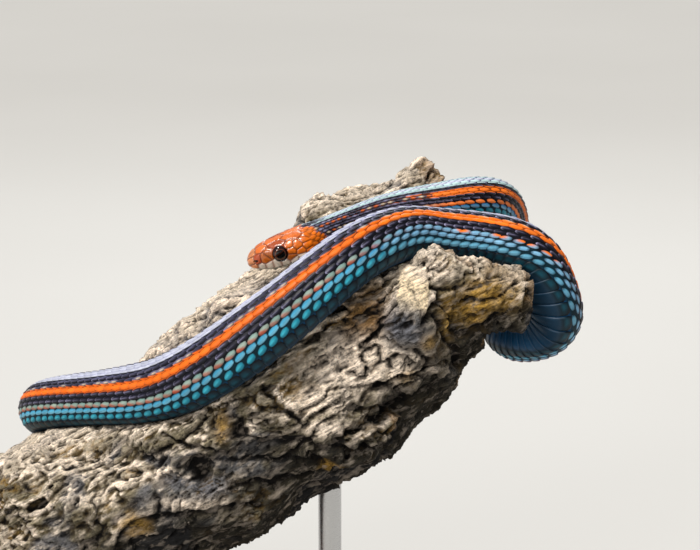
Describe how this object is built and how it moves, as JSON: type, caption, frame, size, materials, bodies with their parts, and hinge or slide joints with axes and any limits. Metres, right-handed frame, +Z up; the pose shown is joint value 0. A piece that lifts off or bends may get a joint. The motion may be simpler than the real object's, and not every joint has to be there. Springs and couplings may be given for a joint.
{
  "type": "garter snake on a branch, display model",
  "caption": "Life-size striped garter snake draped over the broken end of a cork-like branch, held over a flat base by upright rods; a still display model.",
  "frame": {"origin": "centre of the stand base's underside", "axes": "+Z up, +X along the base towards the branch's broken end, +Y away from the side the snake is seen from"},
  "size_m": [0.2539, 0.124, 0.2176],
  "materials": {
    "head_skin": "glossy orange-brown head shields with cream lip shields",
    "jaw_skin": "satin cream scales",
    "eye": "clear glossy eye with a round black pupil",
    "neck_skin": "satin keeled scales, near black with pale flecks",
    "trunk_skin": "satin keeled scales: pale blue back stripe, black bands, orange stripe, turquoise flanks, blue-green belly",
    "tail_skin": "as the trunk, narrowing to the tip",
    "bark": "rough grey-brown cork-like bark",
    "base_wood": "satin varnished dark wood",
    "steel": "brushed"
  },
  "bodies": {
    "root": {"head": "head_skin", "lower_jaw": "jaw_skin", "eye_left": "eye", "eye_right": "eye", "neck": "neck_skin", "trunk_1": "trunk_skin", "trunk_2": "trunk_skin", "trunk_3": "trunk_skin", "trunk_4": "trunk_skin", "trunk_5": "trunk_skin", "trunk_6": "trunk_skin", "trunk_7": "trunk_skin", "trunk_8": "trunk_skin", "trunk_9": "trunk_skin", "trunk_10": "trunk_skin", "trunk_11": "trunk_skin", "trunk_12": "trunk_skin", "tail_1": "tail_skin", "tail_2": "tail_skin", "tail_tip": "tail_skin", "branch": "bark", "stand_base": "base_wood", "stand_rod_low": "steel", "stand_rod_high": "steel"}
  },
  "joints": []
}
